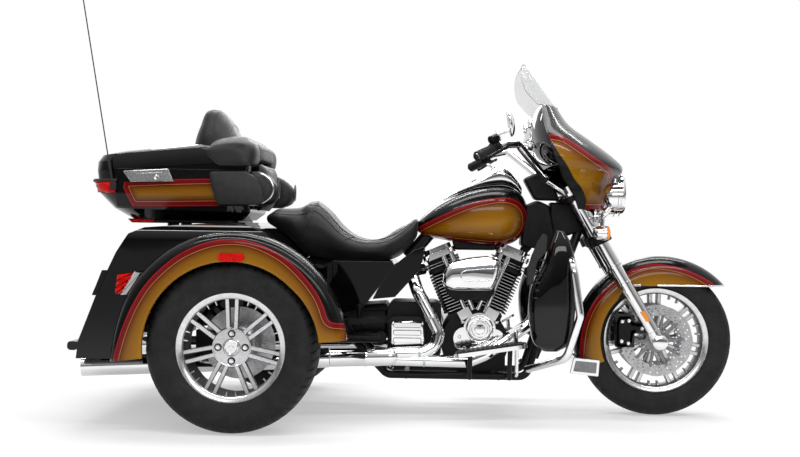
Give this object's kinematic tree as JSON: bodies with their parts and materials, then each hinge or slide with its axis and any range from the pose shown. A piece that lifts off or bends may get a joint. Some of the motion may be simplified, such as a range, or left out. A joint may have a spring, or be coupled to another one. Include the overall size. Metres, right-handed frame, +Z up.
{
  "type": "motorized trike",
  "caption": "Touring trike with a steered front wheel, batwing fairing, finned V-twin engine, rear trunk with drop-down door and a tour trunk with side-opening lid and backrest.",
  "frame": {"origin": "on the ground, under the middle of the overall length and width", "axes": "+X forward, +Y to the rider's left, +Z up"},
  "size_m": [2.6835, 1.41, 1.6904],
  "materials": {
    "frame_black": "satin black",
    "engine_black": "wrinkle black with bright fin edges",
    "chrome": "polished",
    "amber_paint": "gloss amber with dark faded edges, red and black borders",
    "leather": "grained, stitched",
    "black_paint": "gloss black",
    "trim_black": "fine texture",
    "red_lens": "clear red",
    "clear_shield": "clear",
    "wheel_alloy": "machined faces",
    "disc_steel": "drilled, ground",
    "tyre": "road tread"
  },
  "bodies": {
    "chassis": {"frame": "frame_black", "crankcase": "engine_black", "cylinders": "engine_black", "rocker_covers": "chrome", "cam_cover": "chrome", "air_cleaner": "chrome", "gearbox": "engine_black", "primary_cover": "chrome", "exhaust_headers": "chrome", "muffler_right": "chrome", "muffler_left": "chrome", "fuel_tank": "amber_paint", "tank_console": "chrome", "seat": "leather", "seat_panel": "black_paint", "lower_fairing_right": "black_paint", "lower_fairing_left": "black_paint", "engine_guard": "chrome", "footboards": "frame_black", "foot_controls": "chrome", "trike_body": "black_paint", "rear_fender_right": "amber_paint", "rear_fender_left": "amber_paint", "rear_bumper": "frame_black", "tail_lamps": "red_lens", "rear_axle": "frame_black", "tour_base": "black_paint", "speaker_pods": "trim_black", "lumbar_pad": "leather", "antenna": "trim_black"},
    "trunk_door": {"trunk_door": "black_paint", "plate_bracket": "frame_black"},
    "tour_lid": {"tour_lid": "black_paint", "backrest": "leather"},
    "fork": {"fork_stem": "frame_black", "fork_legs": "chrome", "handlebar": "chrome", "hand_controls": "trim_black", "mirrors": "chrome", "fairing": "amber_paint", "dash": "trim_black", "windshield": "clear_shield", "front_lamps": "chrome", "front_fender": "amber_paint", "front_calipers": "trim_black"},
    "front_wheel": {"front_tyre": "tyre", "front_rim": "wheel_alloy", "front_discs": "disc_steel"},
    "rear_wheel_right": {"right_tyre": "tyre", "right_rim": "wheel_alloy"},
    "rear_wheel_left": {"left_tyre": "tyre", "left_rim": "wheel_alloy"}
  },
  "joints": [
    {"name": "steering", "type": "hinge", "parent": "chassis", "child": "fork", "pos_m": [0.7618, 0, 0.738], "axis": [-0.4384, 0, 0.8988], "range_deg": [-35, 35]},
    {"name": "front_wheel_spin", "type": "hinge", "parent": "fork", "child": "front_wheel", "pos_m": [1.02175, 0, 0.32], "axis": [0, 1, 0], "continuous": true},
    {"name": "rear_wheel_right_spin", "type": "hinge", "parent": "chassis", "child": "rear_wheel_right", "pos_m": [-0.66325, -0.567, 0.325], "axis": [0, 1, 0], "continuous": true},
    {"name": "rear_wheel_left_spin", "type": "hinge", "parent": "chassis", "child": "rear_wheel_left", "pos_m": [-0.66325, 0.567, 0.325], "axis": [0, 1, 0], "continuous": true},
    {"name": "trunk_door_hinge", "type": "hinge", "parent": "chassis", "child": "trunk_door", "pos_m": [-1.24725, 0, 0.396], "axis": [0, -1, 0], "range_deg": [0, 105]},
    {"name": "tour_lid_hinge", "type": "hinge", "parent": "chassis", "child": "tour_lid", "pos_m": [-1.06325, 0.33, 1.003], "axis": [-1, 0, 0], "range_deg": [0, 70]}
  ]
}
